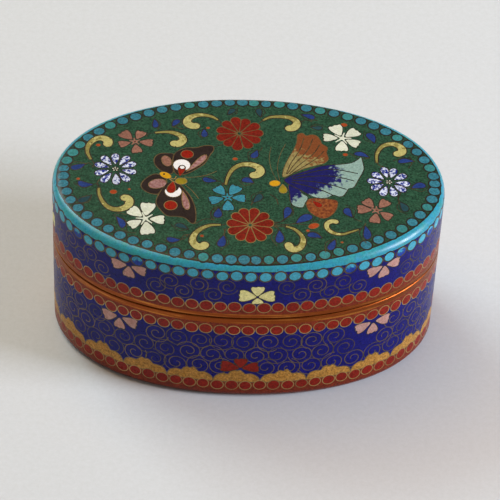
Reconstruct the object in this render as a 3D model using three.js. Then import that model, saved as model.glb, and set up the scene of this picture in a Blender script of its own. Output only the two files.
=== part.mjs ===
// Cloisonne enamel box: an oval box of enamelled copper with a lid that lifts off.
// Units are millimetres, +Z is up, and the origin is the middle of the underside.
import * as THREE from 'three';
import { mergeVertices } from 'three/addons/utils/BufferGeometryUtils.js';

// Outline, seen from above
const LENGTH = 80;
const WIDTH = 52;
const OVAL_POWER = 2.14; // 2 is an ellipse; slightly more gives fuller shoulders
const SEGMENTS = 80; // facets around the oval

// Heights above the table
const SEAM_Z = 22.9; // where the lid rests on the base
const SHOULDER_TOP_Z = 37.3; // edge of the domed top
const HEIGHT = 38; // middle of the dome

// Sheet and edges
const WALL = 1.6; // copper sheet with enamel on both sides
const WALL_LEAN = 0.7; // how much narrower each side is at the table than at the shoulder
const SHOULDER_RADIUS = 2;
const FOOT_RADIUS = 1.7;
const INNER_CORNER_RADIUS = 2;

// Copper rims
const LID_RIM_HEIGHT = 1.1;
const BASE_RIM_HEIGHT = 1.6;
const SEAM_GROOVE_HEIGHT = 0.25; // dark line left open between the two rims
const SEAM_GROOVE_DEPTH = 0.7;
const LIP_CLEARANCE = 0.3; // between the lid's wall and the lip inside it
const LIP_THICKNESS = 0.8;
const LIP_HEIGHT = 3;

const HALF_WIDTH = WIDTH / 2;
const EDGE_BAND = 5; // within this distance of the outline, walls follow it in parallel
const ARC_STEPS = 5;
const DOME_STEPS = 5;

const WALL_TOP_Z = SHOULDER_TOP_Z - SHOULDER_RADIUS;
const LID_BODY_Z = SEAM_Z + LID_RIM_HEIGHT;
const BASE_BODY_Z = SEAM_Z - BASE_RIM_HEIGHT;
const LIP_OUTER_INSET = WALL + LIP_CLEARANCE;
const LIP_INNER_INSET = LIP_OUTER_INSET + LIP_THICKNESS;

const enamelLid = new THREE.MeshStandardMaterial({ color: 0x2f6fa0, roughness: 0.35, metalness: 0.1 });
const enamelBase = new THREE.MeshStandardMaterial({ color: 0x2a2376, roughness: 0.35, metalness: 0.1 });
const copper = new THREE.MeshStandardMaterial({ color: 0xb0703a, roughness: 0.4, metalness: 0.9 });

// Point of the oval outline at an angle, moved inward along its normal
function outlinePoint(angle, inset) {
  const cosine = Math.cos(angle);
  const sine = Math.sin(angle);
  const x = LENGTH / 2 * Math.sign(cosine) * Math.abs(cosine) ** (2 / OVAL_POWER);
  const y = HALF_WIDTH * Math.sign(sine) * Math.abs(sine) ** (2 / OVAL_POWER);
  const normal = new THREE.Vector2(
    Math.sign(x) * Math.abs(2 * x / LENGTH) ** (OVAL_POWER - 1) / LENGTH,
    Math.sign(y) * Math.abs(y / HALF_WIDTH) ** (OVAL_POWER - 1) / WIDTH,
  ).normalize();
  return new THREE.Vector2(x, y).addScaledVector(normal, -inset);
}

// Distance that the leaning outer wall stands inside the outline at a height
function wallInset(z) {
  return WALL_LEAN * (1 - z / WALL_TOP_Z);
}

// Profile point: inset from the outline, and height
function at(inset, z) {
  return new THREE.Vector2(HALF_WIDTH - inset, z);
}

// Quarter round between two profile points, bulging towards the given corner
function quarterRound(from, to, corner) {
  const centre = from.clone().add(to).sub(corner);
  const points = [];
  for (let step = 0; step <= ARC_STEPS; step += 1) {
    const turn = step / ARC_STEPS * Math.PI / 2;
    const point = centre.clone();
    point.addScaledVector(from.clone().sub(centre), Math.cos(turn));
    point.addScaledVector(to.clone().sub(centre), Math.sin(turn));
    points.push(point);
  }
  return points;
}

// Low dome from its edge at an inset and height to the axis, without the edge point itself
function domePoints(edgeInset, edgeZ, rise) {
  const edgeRadius = HALF_WIDTH - edgeInset;
  const points = [];
  for (let step = 1; step <= DOME_STEPS; step += 1) {
    const radius = edgeRadius * (1 - step / DOME_STEPS);
    const z = edgeZ + rise * (1 - (radius / edgeRadius) ** 2);
    points.push(new THREE.Vector2(radius, z));
  }
  return points;
}

// Sweeps a profile round the oval: the lathe's circle is stretched onto the outline.
// Near the wall the profile runs parallel to the outline; further in it shrinks evenly to the axis.
function ovalSweep(profile) {
  const geometry = new THREE.LatheGeometry(profile, SEGMENTS);
  geometry.rotateX(Math.PI / 2);
  geometry.deleteAttribute('normal');
  geometry.deleteAttribute('uv');
  const position = geometry.getAttribute('position');
  const innerRadius = HALF_WIDTH - EDGE_BAND;
  for (let index = 0; index < position.count; index += 1) {
    const radius = Math.hypot(position.getX(index), position.getY(index));
    const angle = Math.atan2(position.getY(index), position.getX(index));
    const inset = Math.min(HALF_WIDTH - radius, EDGE_BAND);
    const shrink = Math.min(radius / innerRadius, 1);
    const point = outlinePoint(angle, inset).multiplyScalar(shrink);
    position.setXY(index, point.x, point.y);
  }
  return mergeVertices(geometry, 1e-4);
}

function piece(name, profile, material) {
  const mesh = new THREE.Mesh(ovalSweep(profile), material);
  mesh.name = name;
  return mesh;
}

// Lower body: flat underside, rounded foot, leaning wall, and a hollow with a rounded floor
function baseProfile() {
  const footInset = wallInset(FOOT_RADIUS);
  const innerFoot = wallInset(0) + WALL + INNER_CORNER_RADIUS;
  return [
    new THREE.Vector2(0, 0),
    ...quarterRound(
      at(footInset + FOOT_RADIUS, 0),
      at(footInset, FOOT_RADIUS),
      at(footInset, 0),
    ),
    at(wallInset(BASE_BODY_Z), BASE_BODY_Z),
    at(wallInset(BASE_BODY_Z) + WALL, BASE_BODY_Z),
    ...quarterRound(
      at(innerFoot - INNER_CORNER_RADIUS, WALL + INNER_CORNER_RADIUS),
      at(innerFoot, WALL),
      at(innerFoot - INNER_CORNER_RADIUS, WALL),
    ),
    new THREE.Vector2(0, WALL),
  ];
}

// Rim of the base: a flush copper band, a ledge for the lid and the lip that stands inside it
function baseRimProfile() {
  const grooveZ = SEAM_Z - SEAM_GROOVE_HEIGHT;
  const profile = [
    at(wallInset(BASE_BODY_Z), BASE_BODY_Z),
    at(wallInset(grooveZ), grooveZ),
    at(SEAM_GROOVE_DEPTH + wallInset(SEAM_Z), grooveZ),
    at(SEAM_GROOVE_DEPTH + wallInset(SEAM_Z), SEAM_Z),
    at(LIP_OUTER_INSET + wallInset(SEAM_Z), SEAM_Z),
    at(LIP_OUTER_INSET + wallInset(SEAM_Z), SEAM_Z + LIP_HEIGHT),
    at(LIP_INNER_INSET + wallInset(SEAM_Z), SEAM_Z + LIP_HEIGHT),
    at(LIP_INNER_INSET + wallInset(SEAM_Z), BASE_BODY_Z),
  ];
  return [...profile, profile[0].clone()];
}

// Rim of the lid: a flush copper band as thick as the wall above it
function lidRimProfile() {
  const profile = [
    at(wallInset(SEAM_Z) + WALL, SEAM_Z),
    at(wallInset(SEAM_Z), SEAM_Z),
    at(wallInset(LID_BODY_Z), LID_BODY_Z),
    at(wallInset(LID_BODY_Z) + WALL, LID_BODY_Z),
  ];
  return [...profile, profile[0].clone()];
}

// Upper body: wall, rounded shoulder and low dome outside, and the same shape one wall inside
function lidProfile() {
  const domeRise = HEIGHT - SHOULDER_TOP_Z;
  const innerTopZ = SHOULDER_TOP_Z - WALL;
  const innerEdge = WALL + INNER_CORNER_RADIUS;
  const outer = [
    at(wallInset(LID_BODY_Z), LID_BODY_Z),
    ...quarterRound(
      at(0, WALL_TOP_Z),
      at(SHOULDER_RADIUS, SHOULDER_TOP_Z),
      at(0, SHOULDER_TOP_Z),
    ),
    ...domePoints(SHOULDER_RADIUS, SHOULDER_TOP_Z, domeRise),
  ];
  const inner = [
    at(wallInset(LID_BODY_Z) + WALL, LID_BODY_Z),
    ...quarterRound(
      at(WALL, innerTopZ - INNER_CORNER_RADIUS),
      at(innerEdge, innerTopZ),
      at(WALL, innerTopZ),
    ),
    ...domePoints(innerEdge, innerTopZ, domeRise),
  ];
  return [...inner.reverse(), ...outer];
}

const group = new THREE.Group();
group.add(piece('base', baseProfile(), enamelBase));
group.add(piece('base_rim', baseRimProfile(), copper));
group.add(piece('lid', lidProfile(), enamelLid));
group.add(piece('lid_rim', lidRimProfile(), copper));

export default group;
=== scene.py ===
import math
import random

import bmesh
import bpy
from mathutils import Matrix, Vector, kdtree
from mathutils.geometry import delaunay_2d_cdt


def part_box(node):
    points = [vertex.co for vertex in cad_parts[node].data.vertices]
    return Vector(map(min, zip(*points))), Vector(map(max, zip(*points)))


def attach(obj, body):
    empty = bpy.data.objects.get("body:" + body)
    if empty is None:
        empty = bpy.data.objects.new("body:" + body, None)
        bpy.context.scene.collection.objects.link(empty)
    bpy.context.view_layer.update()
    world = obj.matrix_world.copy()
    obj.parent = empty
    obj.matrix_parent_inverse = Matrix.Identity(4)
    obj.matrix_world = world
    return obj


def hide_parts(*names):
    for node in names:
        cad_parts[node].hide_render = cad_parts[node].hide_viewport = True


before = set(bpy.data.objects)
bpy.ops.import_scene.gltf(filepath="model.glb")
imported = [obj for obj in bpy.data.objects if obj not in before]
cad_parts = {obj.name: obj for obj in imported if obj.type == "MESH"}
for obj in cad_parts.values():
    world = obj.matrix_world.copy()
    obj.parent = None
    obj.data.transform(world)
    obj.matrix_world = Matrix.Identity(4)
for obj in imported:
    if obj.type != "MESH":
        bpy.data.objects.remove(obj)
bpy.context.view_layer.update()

# All drawing below is in millimetres; MM turns it into the scene's metres.
MM = 0.001


def node_box(name):
    """Lowest and highest corner of a CAD piece, in millimetres."""
    low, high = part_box(name)
    return Vector(low) / MM, Vector(high) / MM


# ---- sizes taken from the frame
lid_low, lid_high = node_box("lid")
_, base_high = node_box("base")
_, base_rim_high = node_box("base_rim")
lid_rim_low, _ = node_box("lid_rim")

HALF_LENGTH = lid_high.x
HALF_WIDTH = lid_high.y
HEIGHT = lid_high.z
LID_BODY_Z = lid_low.z
BASE_BODY_Z = base_high.z
SEAM_Z = lid_rim_low.z
LIP_TOP_Z = base_rim_high.z

# Shape that the frame's boxes don't tell, as in the CAD model
OVAL_POWER = 2.14
DOME_RISE = 0.7
SHOULDER_RADIUS = 2.0
FOOT_RADIUS = 1.7
WALL_LEAN = 0.7
WALL = 1.6
INNER_CORNER_RADIUS = 2.0
SEAM_GROOVE = (0.7, 0.25)  # depth and height
LIP_CLEARANCE = 0.3
LIP_THICKNESS = 0.8
SHOULDER_TOP_Z = HEIGHT - DOME_RISE
WALL_TOP_Z = SHOULDER_TOP_Z - SHOULDER_RADIUS

# The top's flat sheet ends this far inside the outline, and the wall's sheet goes on from there
SHEET_INSET = 0.6

SLOPE_STEP = 0.01  # the wall's slope is measured over this height
LEAST_DROP = 0.001  # keeps the shoulder's slope finite at the very edge


# ---- the oval and its walls
def oval_point(angle, inset=0.0, power=OVAL_POWER):
    """Point of the oval outline at an angle, moved inward, and the outward normal there.
    Power 2 is a plain ellipse of the same length and width."""
    cosine, sine = math.cos(angle), math.sin(angle)
    x = HALF_LENGTH * math.copysign(abs(cosine) ** (2 / power), cosine)
    y = HALF_WIDTH * math.copysign(abs(sine) ** (2 / power), sine)
    slope = power - 1
    normal = Vector((
        math.copysign(abs(x / HALF_LENGTH) ** slope / HALF_LENGTH, x),
        math.copysign(abs(y / HALF_WIDTH) ** slope / HALF_WIDTH, y),
    )).normalized()
    return Vector((x, y)) - normal * inset, normal


def measure_oval(steps=2880):
    """Arc length from the middle of the front, going towards +X, at even angle steps."""
    angles = [math.tau * (step / steps - 0.25) for step in range(steps + 1)]
    points = [oval_point(angle)[0] for angle in angles]
    lengths = [0.0]
    for before, after in zip(points, points[1:]):
        lengths.append(lengths[-1] + (after - before).length)
    return angles, lengths


ANGLES, LENGTHS = measure_oval()
GIRTH = LENGTHS[-1]


def angle_along(arc):
    """Angle on the oval at an arc length from the middle of the front."""
    arc %= GIRTH
    low, high = 0, len(LENGTHS) - 1
    while high - low > 1:
        middle = (low + high) // 2
        if LENGTHS[middle] <= arc:
            low = middle
        else:
            high = middle
    part = (arc - LENGTHS[low]) / (LENGTHS[high] - LENGTHS[low])
    return ANGLES[low] + part * (ANGLES[high] - ANGLES[low])


def wall_inset(z):
    """How far the leaning wall stands inside the outline at a height."""
    return WALL_LEAN * (1 - z / WALL_TOP_Z)


def wall_profile(v):
    """Inset and height at a distance v up the wall. v is the height, except that it goes on
    as arc length over the shoulder, and below the start of the foot's rounding."""
    if v > WALL_TOP_Z:
        turn = (v - WALL_TOP_Z) / SHOULDER_RADIUS
        return SHOULDER_RADIUS * (1 - math.cos(turn)), WALL_TOP_Z + SHOULDER_RADIUS * math.sin(turn)
    if v < FOOT_RADIUS:
        turn = (FOOT_RADIUS - v) / FOOT_RADIUS
        inset = wall_inset(FOOT_RADIUS) + FOOT_RADIUS * (1 - math.cos(turn))
        return inset, FOOT_RADIUS * (1 - math.sin(turn))
    return wall_inset(v), v


def on_wall(arc, v):
    """Place and normal of a point of the outer wall."""
    inset, z = wall_profile(v)
    inset_above, z_above = wall_profile(v + SLOPE_STEP)
    point, outward = oval_point(angle_along(arc), inset)
    rise = Vector((inset - inset_above, z_above - z)).normalized()
    normal = Vector((outward.x * rise.y, outward.y * rise.y, -rise.x))
    return Vector((point.x, point.y, z)), normal


def build_outline_tree(steps=1440):
    """Search tree of outline points, which finds how far inside the outline a place is."""
    tree = kdtree.KDTree(steps)
    normals = []
    for step in range(steps):
        point, normal = oval_point(math.tau * step / steps)
        tree.insert((point.x, point.y, 0), step)
        normals.append(normal)
    tree.balance()
    return tree, normals


OUTLINE_TREE, OUTLINE_NORMALS = build_outline_tree()


def inset_at(x, y):
    """Distance inside the outline, and the outward direction to it."""
    nearest, index, _ = OUTLINE_TREE.find((x, y, 0))
    normal = OUTLINE_NORMALS[index]
    return (nearest.xy - Vector((x, y))).dot(normal), normal


def on_top(x, y):
    """Place and normal of a point of the lid's shoulder edge or dome."""
    inset, outward = inset_at(x, y)
    if inset < SHOULDER_RADIUS:
        across = SHOULDER_RADIUS - inset
        drop = math.sqrt(max(SHOULDER_RADIUS ** 2 - across ** 2, LEAST_DROP ** 2))
        z = WALL_TOP_Z + drop
        slope = across / drop
    else:
        share = (HALF_WIDTH - inset) / (HALF_WIDTH - SHOULDER_RADIUS)
        z = SHOULDER_TOP_Z + DOME_RISE * (1 - share ** 2)
        slope = 2 * DOME_RISE * share / (HALF_WIDTH - SHOULDER_RADIUS)
    return Vector((x, y, z)), Vector((outward.x * slope, outward.y * slope, 1)).normalized()


# ---- flat outlines
def circle(centre, radius, count=18, squash=1.0, turn=0.0):
    """Circle, or ellipse whose second half-axis is squash times the first."""
    centre = Vector(centre)
    points = []
    for step in range(count):
        angle = math.tau * step / count
        local = Vector((radius * math.cos(angle), radius * squash * math.sin(angle)))
        points.append(centre + turned(local, turn))
    return points


def turned(vector, degrees):
    """Flat vector turned anticlockwise."""
    angle = math.radians(degrees)
    cosine, sine = math.cos(angle), math.sin(angle)
    return Vector((vector.x * cosine - vector.y * sine, vector.x * sine + vector.y * cosine))


def spline(points, closed=False, steps=5):
    """Smooth curve through points (Catmull-Rom)."""
    points = [Vector(point) for point in points]
    count = len(points)
    spans = count if closed else count - 1
    curve = []
    for span in range(spans):
        corners = []
        for offset in (-1, 0, 1, 2):
            index = span + offset
            if closed:
                corners.append(points[index % count])
            else:
                corners.append(points[min(max(index, 0), count - 1)])
        for step in range(steps):
            curve.append(catmull_rom(corners, step / steps))
    if not closed:
        curve.append(points[-1])
    return curve


def catmull_rom(corners, t):
    """Point at t between the two middle corners of four."""
    before, start, end, after = corners
    return 0.5 * (
        2 * start
        + (end - before) * t
        + (2 * before - 5 * start + 4 * end - after) * t ** 2
        + (3 * start - before - 3 * end + after) * t ** 3
    )


DROP_FULLNESS = 0.65  # makes the widest place of a drop about its nominal width
DROP_TAPER = 1.2  # higher draws the base of a drop out to a finer point


def teardrop(base, tip, width, bend=0.0, count=16):
    """Drop that is pointed at its base and round at its tip, bent sideways by bend."""
    base, tip = Vector(base), Vector(tip)
    along = tip - base
    across = Vector((-along.y, along.x)).normalized()
    points = []
    for step in range(count):
        angle = math.tau * step / count
        share = (1 - math.cos(angle)) / 2
        half = width * DROP_FULLNESS * math.sin(angle) * math.sin(angle / 2) ** DROP_TAPER
        arch = bend * 4 * share * (1 - share)
        points.append(base + along * share + across * (half + arch))
    return points


def inside(point, corners):
    """True for a point within a polygon."""
    within = False
    before = corners[-1]
    for corner in corners:
        if (corner.y > point.y) != (before.y > point.y):
            crossing = (before.x - corner.x) * (point.y - corner.y) / (before.y - corner.y)
            if point.x < crossing + corner.x:
                within = not within
        before = corner
    return within


def ribbon(points, widths, closed=False):
    """Left and right edge of a line that has a width at each point."""
    count = len(points)
    left, right = [], []
    for index, point in enumerate(points):
        if closed:
            before, after = points[index - 1], points[(index + 1) % count]
        else:
            before, after = points[max(index - 1, 0)], points[min(index + 1, count - 1)]
        tangent = (after - before).normalized()
        across = Vector((-tangent.y, tangent.x)) * widths[index] / 2
        left.append(point + across)
        right.append(point - across)
    return left, right


# ---- inlay: cells and wires on a flat sheet
EVEN_TONE = 0.5
NO_WIRE = 0.0
KEEP_ALL_TRIANGLES = 0
SAME_POINT = 1e-4  # points closer than this become one


def add_object(name, data):
    """New object of a mesh, light or camera, put in the scene."""
    item = bpy.data.objects.new(name, data)
    bpy.context.collection.objects.link(item)
    return item


class Inlay:
    """Enamel cells and wires drawn flat. What is drawn later lies on top of what is there."""

    def __init__(self, ground):
        self.shapes = [(ground, EVEN_TONE, None)]
        self.limits = (-math.inf, math.inf)  # what lies outside, along X, is cut off
        self.faces = []
        self.points = []
        self.edges = []

    def shape(self, paint, tone=EVEN_TONE, blend=None):
        """Opens a new shape: its paint, its tone from 0 to 1, and its blend along an axis."""
        self.shapes.append((paint, tone, blend))
        return len(self.shapes) - 1

    def border(self, corners, closed=True):
        """Line that the mesh must follow."""
        first = len(self.points)
        count = len(corners)
        self.points.extend(corners)
        self.edges.extend((first + index, first + index + 1) for index in range(count - 1))
        if closed:
            self.edges.append((first + count - 1, first))

    def strip(self, points, widths, shape, closed=False):
        """Band along a line, made of triangles, so that a tight bend does no harm."""
        left, right = ribbon(points, widths, closed)
        spans = len(points) if closed else len(points) - 1
        for index in range(spans):
            after = (index + 1) % len(points)
            self.faces.append(([left[index], right[index], right[after]], shape))
            self.faces.append(([left[index], right[after], left[after]], shape))
        if closed:
            self.border(left)
            self.border(right)
        else:
            self.border(left + right[::-1])

    def cell(self, outline, paint, tone=EVEN_TONE, wire=NO_WIRE, shine=0.0, blend=None):
        """Filled cell, with a wire of a width and shine round it."""
        outline = [Vector(point) for point in outline]
        self.faces.append((outline, self.shape(paint, tone, blend)))
        self.border(outline)
        if wire:
            self.wire(outline, wire, shine, closed=True)

    def wire(self, points, width, shine, closed=False):
        """Bare wire. shine goes from 0, dark and tarnished, to 1, bright gold."""
        shape = self.shape("wire", shine)
        self.strip([Vector(point) for point in points], [width] * len(points), shape, closed)

    def build(self, name, place, unroll, loose_points):
        """Makes the enamel mesh and the wire mesh, which share their edges exactly."""
        points = self.points + loose_points
        net = delaunay_2d_cdt(points, self.edges, [], KEEP_ALL_TRIANGLES, SAME_POINT, False)
        flat, _, triangles, _, _, _ = net
        find_shape = self.shape_finder()
        enamel, wires = [], []
        for triangle in triangles:
            middle = middle_of(triangle, flat)
            if not self.limits[0] < middle.x < self.limits[1]:
                continue
            shape = find_shape(middle)
            target = wires if self.shapes[shape][0] == "wire" else enamel
            target.append((triangle, shape))
        placed = [place(point.x, point.y) for point in flat]
        return (
            self.make_mesh(name + "_enamel", enamel, flat, placed, unroll),
            self.make_mesh(name + "_wires", wires, flat, placed, unroll),
        )

    def shape_finder(self):
        """Function that tells the topmost shape at a point, with the faces sorted into squares."""
        squares = {}
        for index, (corners, _) in enumerate(self.faces):
            columns = [math.floor(corner.x) for corner in corners]
            rows = [math.floor(corner.y) for corner in corners]
            for column in range(min(columns), max(columns) + 1):
                for row in range(min(rows), max(rows) + 1):
                    squares.setdefault((column, row), []).append(index)

        def find(point):
            square = (math.floor(point.x), math.floor(point.y))
            for index in reversed(squares.get(square, ())):
                corners, shape = self.faces[index]
                if inside(point, corners):
                    return shape
            return 0

        return find

    def make_mesh(self, name, triangles, flat, placed, unroll):
        """Mesh of some of the triangles, with a material for each paint and the Cell attribute."""
        used = sorted({corner for triangle, _ in triangles for corner in triangle})
        new_index = {corner: index for index, corner in enumerate(used)}
        mesh = bpy.data.meshes.new(name)
        vertices = [placed[corner][0] * MM for corner in used]
        faces = [[new_index[corner] for corner in triangle] for triangle, _ in triangles]
        mesh.from_pydata(vertices, [], faces)
        paints = sorted({self.shapes[shape][0] for _, shape in triangles})
        for paint in paints:
            mesh.materials.append(material(paint))
        slots = [paints.index(self.shapes[shape][0]) for _, shape in triangles]
        mesh.polygons.foreach_set("material_index", slots)
        colours = []
        for triangle, shape in triangles:
            _, tone, blend = self.shapes[shape]
            for corner in triangle:
                share = blend(flat[corner]) if blend else 0.0
                colours.extend((tone, share, 0.0, 1.0))
        layout = mesh.uv_layers.new(name="OFBake")
        places = []
        for triangle, _ in triangles:
            middle = middle_of(triangle, flat)
            for corner in triangle:
                places.extend(unroll(flat[corner], middle))
        layout.data.foreach_set("uv", places)
        attribute = mesh.color_attributes.new("Cell", "FLOAT_COLOR", "CORNER")
        attribute.data.foreach_set("color", colours)
        mesh.shade_smooth()
        mesh.normals_split_custom_set_from_vertices([placed[corner][1] for corner in used])
        return add_object(name, mesh)


def middle_of(triangle, flat):
    """Middle of a triangle given by the indices of its corners."""
    return sum((flat[corner] for corner in triangle), Vector((0, 0))) / 3


def along(start, end):
    """Blend that goes from 0 at start to 1 at end."""
    start, end = Vector(start), Vector(end)
    axis = end - start

    def share(point):
        return min(max((point - start).dot(axis) / axis.length_squared, 0.0), 1.0)

    return share


# ---- materials
def linear(colour):
    """Linear light of an sRGB colour given as 0 to 255."""
    parts = []
    for part in colour:
        part /= 255
        parts.append(part / 12.92 if part <= 0.04045 else ((part + 0.055) / 1.055) ** 2.4)
    return (*parts, 1.0)


# Places of the colour sockets among those of a mix node
MIX_SHARE, MIX_FIRST, MIX_SECOND, MIX_RESULT = 0, 6, 7, 2
BUMP_HEIGHT = 0.02
NOISE_RANGE = (0.3, 0.7)  # nearly all of a noise lies in this range
STREAK_SCALE = (0.08, 0.08, 3.5)  # streaks are long along the strip and fine across it


class Nodes:
    """Small helper to write a node material as a sequence of calls."""

    def __init__(self, name):
        self.material = bpy.data.materials.new(name)
        self.material.use_nodes = True
        self.tree = self.material.node_tree
        self.shader = self.tree.nodes["Principled BSDF"]
        place = self.add("TexCoord").outputs["Object"]
        self.millimetres = self.add("VectorMath", {0: place, "Scale": 1 / MM}, operation="SCALE").outputs[0]

    def add(self, kind, inputs=None, **settings):
        """New node with its settings and inputs."""
        node = self.tree.nodes.new("ShaderNode" + kind)
        for key, value in settings.items():
            setattr(node, key, value)
        for key, value in (inputs or {}).items():
            self.feed(node.inputs[key], value)
        return node

    def feed(self, socket, value):
        """Links a socket to another one, or gives it a plain value."""
        if isinstance(value, bpy.types.NodeSocket):
            self.tree.links.new(value, socket)
        else:
            socket.default_value = value

    def surface(self, **inputs):
        """Feeds inputs of the surface, named with _ for a space."""
        for key, value in inputs.items():
            self.feed(self.shader.inputs[key.replace("_", " ")], value)

    def noise(self, per_mm, detail=3.0, roughness=0.6):
        """Noise with so many features a millimetre."""
        inputs = {"Scale": per_mm, "Detail": detail, "Roughness": roughness, "Vector": self.millimetres}
        return self.add("TexNoise", inputs).outputs["Fac"]

    def streaks(self):
        """Fine level lines round the box, from -1 to 1."""
        squeezed = self.add("VectorMath", {0: self.millimetres, 1: STREAK_SCALE}, operation="MULTIPLY")
        lines = self.add("TexNoise", {"Scale": 1.0, "Detail": 3.0, "Vector": squeezed.outputs[0]})
        return self.remap(lines.outputs["Fac"], 0.35, 0.65, -1.0, 1.0)

    def voronoi(self, per_mm):
        """Distance to the nearest of scattered points, and a random value for each point."""
        node = self.add("TexVoronoi", {"Scale": per_mm, "Vector": self.millimetres})
        return node.outputs["Distance"], node.outputs["Color"]

    def remap(self, value, low, high, to_low=0.0, to_high=1.0):
        """Value from one range to another, clamped."""
        inputs = {"Value": value, "From Min": low, "From Max": high, "To Min": to_low, "To Max": to_high}
        return self.add("MapRange", inputs).outputs["Result"]

    def maths(self, operation, first, second):
        """Result of an operation on two values."""
        return self.add("Math", {0: first, 1: second}, operation=operation).outputs["Value"]

    def mix(self, share, first, second, blend_type="MIX"):
        """Mix of two colours."""
        inputs = {MIX_SHARE: share, MIX_FIRST: first, MIX_SECOND: second}
        node = self.add("Mix", inputs, data_type="RGBA", blend_type=blend_type)
        return node.outputs[MIX_RESULT]

    def cell(self):
        """Tone and blend of the enamel cell."""
        cell = self.add("Attribute", attribute_name="Cell").outputs["Color"]
        split = self.add("SeparateColor", {"Color": cell})
        return split.outputs["Red"], split.outputs["Green"]

    def grey(self, value):
        """Grey colour from a value."""
        return self.add("CombineColor", {0: value, 1: value, 2: value}).outputs["Color"]

    def bump(self, height, strength):
        """Fine relief of the surface."""
        inputs = {"Strength": strength, "Distance": BUMP_HEIGHT * MM, "Height": height}
        self.surface(Normal=self.add("Bump", inputs).outputs["Normal"])


# Enamel: features of each noise in a millimetre, and the ranges that they are turned into
RAGGED_PER_MM = 1.1
GRAIN_PER_MM = 2.3
PITS_PER_MM = 0.9
GLOSS_PER_MM = 0.5
TONE_LIGHT = (0.72, 1.28)  # brightness of a cell of tone 0 and of tone 1
ENAMEL_ROUGHNESS = (0.24, 0.42)
PIT_EDGE = (0.06, 0.16)  # a pit is full within the first distance and ends at the second
PIT_ROUGHNESS = 0.4
PIT_DEPTH = 2.0
PIT_BROWN = linear((40, 32, 26))


def enamel(name, main, second, grain=0.4, patches=0.5, patch_size=1.4, pits=0.22, end=None, edge=0.35,
           gloss=0.15):
    """Enamel ground flush: two mottled shades, fine grain, pits and a semi-gloss surface.
    With an end colour, the cell blends to it along its own axis with a ragged edge."""
    nodes = Nodes(name)
    tone, blend = nodes.cell()
    patch = nodes.remap(nodes.noise(1 / patch_size), 0.5 - patches / 2, 0.5 + patches / 2)
    colour = nodes.mix(patch, linear(main), linear(second))
    if end:
        ragged = nodes.remap(nodes.noise(RAGGED_PER_MM, 4.0), 0.2, 0.8, -edge, edge)
        reached = nodes.remap(nodes.maths("ADD", blend, ragged), 0.42, 0.58)
        colour = nodes.mix(reached, colour, linear(end))
    fine = nodes.noise(GRAIN_PER_MM, 3.0, 0.8)
    light = nodes.remap(fine, 0.36, 0.64, 1 - grain, 1 + grain)
    light = nodes.maths("MULTIPLY", light, nodes.remap(tone, 0, 1, *TONE_LIGHT))
    colour = nodes.mix(1.0, colour, nodes.grey(light), "MULTIPLY")
    distance, random_colour = nodes.voronoi(PITS_PER_MM)
    chosen = nodes.maths("LESS_THAN", random_colour, pits)
    hole = nodes.maths("MULTIPLY", nodes.remap(distance, *PIT_EDGE, 1, 0), chosen)
    rough = nodes.remap(nodes.noise(GLOSS_PER_MM, 4.0), *NOISE_RANGE, *ENAMEL_ROUGHNESS)
    rough = nodes.maths("ADD", rough, nodes.maths("MULTIPLY", hole, PIT_ROUGHNESS))
    nodes.surface(
        Base_Color=nodes.mix(hole, colour, PIT_BROWN), Roughness=rough, Specular_IOR_Level=gloss)
    nodes.bump(nodes.maths("SUBTRACT", fine, nodes.maths("MULTIPLY", hole, PIT_DEPTH)), 0.5)
    return nodes.material


# Copper: features of each noise in a millimetre, and how it is tarnished
TARNISH_PER_MM = 0.6
SCRATCHES_PER_MM = 4.0
TARNISH_SHARE = 0.25
TARNISH_RANGE = (0.22, 1.1)  # where the dark shade ends and the bright one is full
COPPER_ROUGHNESS = (0.25, 0.5)


def copper(name, dark, bright, metal, streaky=0.0):
    """Bare copper: tarnish in patches, fine scratches along the strip."""
    nodes = Nodes(name)
    tone, _ = nodes.cell()
    tarnish = nodes.remap(nodes.noise(TARNISH_PER_MM, 5.0, 0.7), *NOISE_RANGE)
    fine = nodes.noise(SCRATCHES_PER_MM, 2.0)
    share = nodes.maths("ADD", nodes.maths("MULTIPLY", tarnish, TARNISH_SHARE), tone)
    share = nodes.maths("ADD", share, nodes.maths("MULTIPLY", nodes.streaks(), streaky))
    colour = nodes.mix(nodes.remap(share, *TARNISH_RANGE), linear(dark), linear(bright))
    rough = nodes.remap(fine, *NOISE_RANGE, *COPPER_ROUGHNESS)
    nodes.surface(Base_Color=colour, Metallic=metal, Roughness=rough)
    nodes.bump(fine, 0.4)
    return nodes.material


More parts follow.
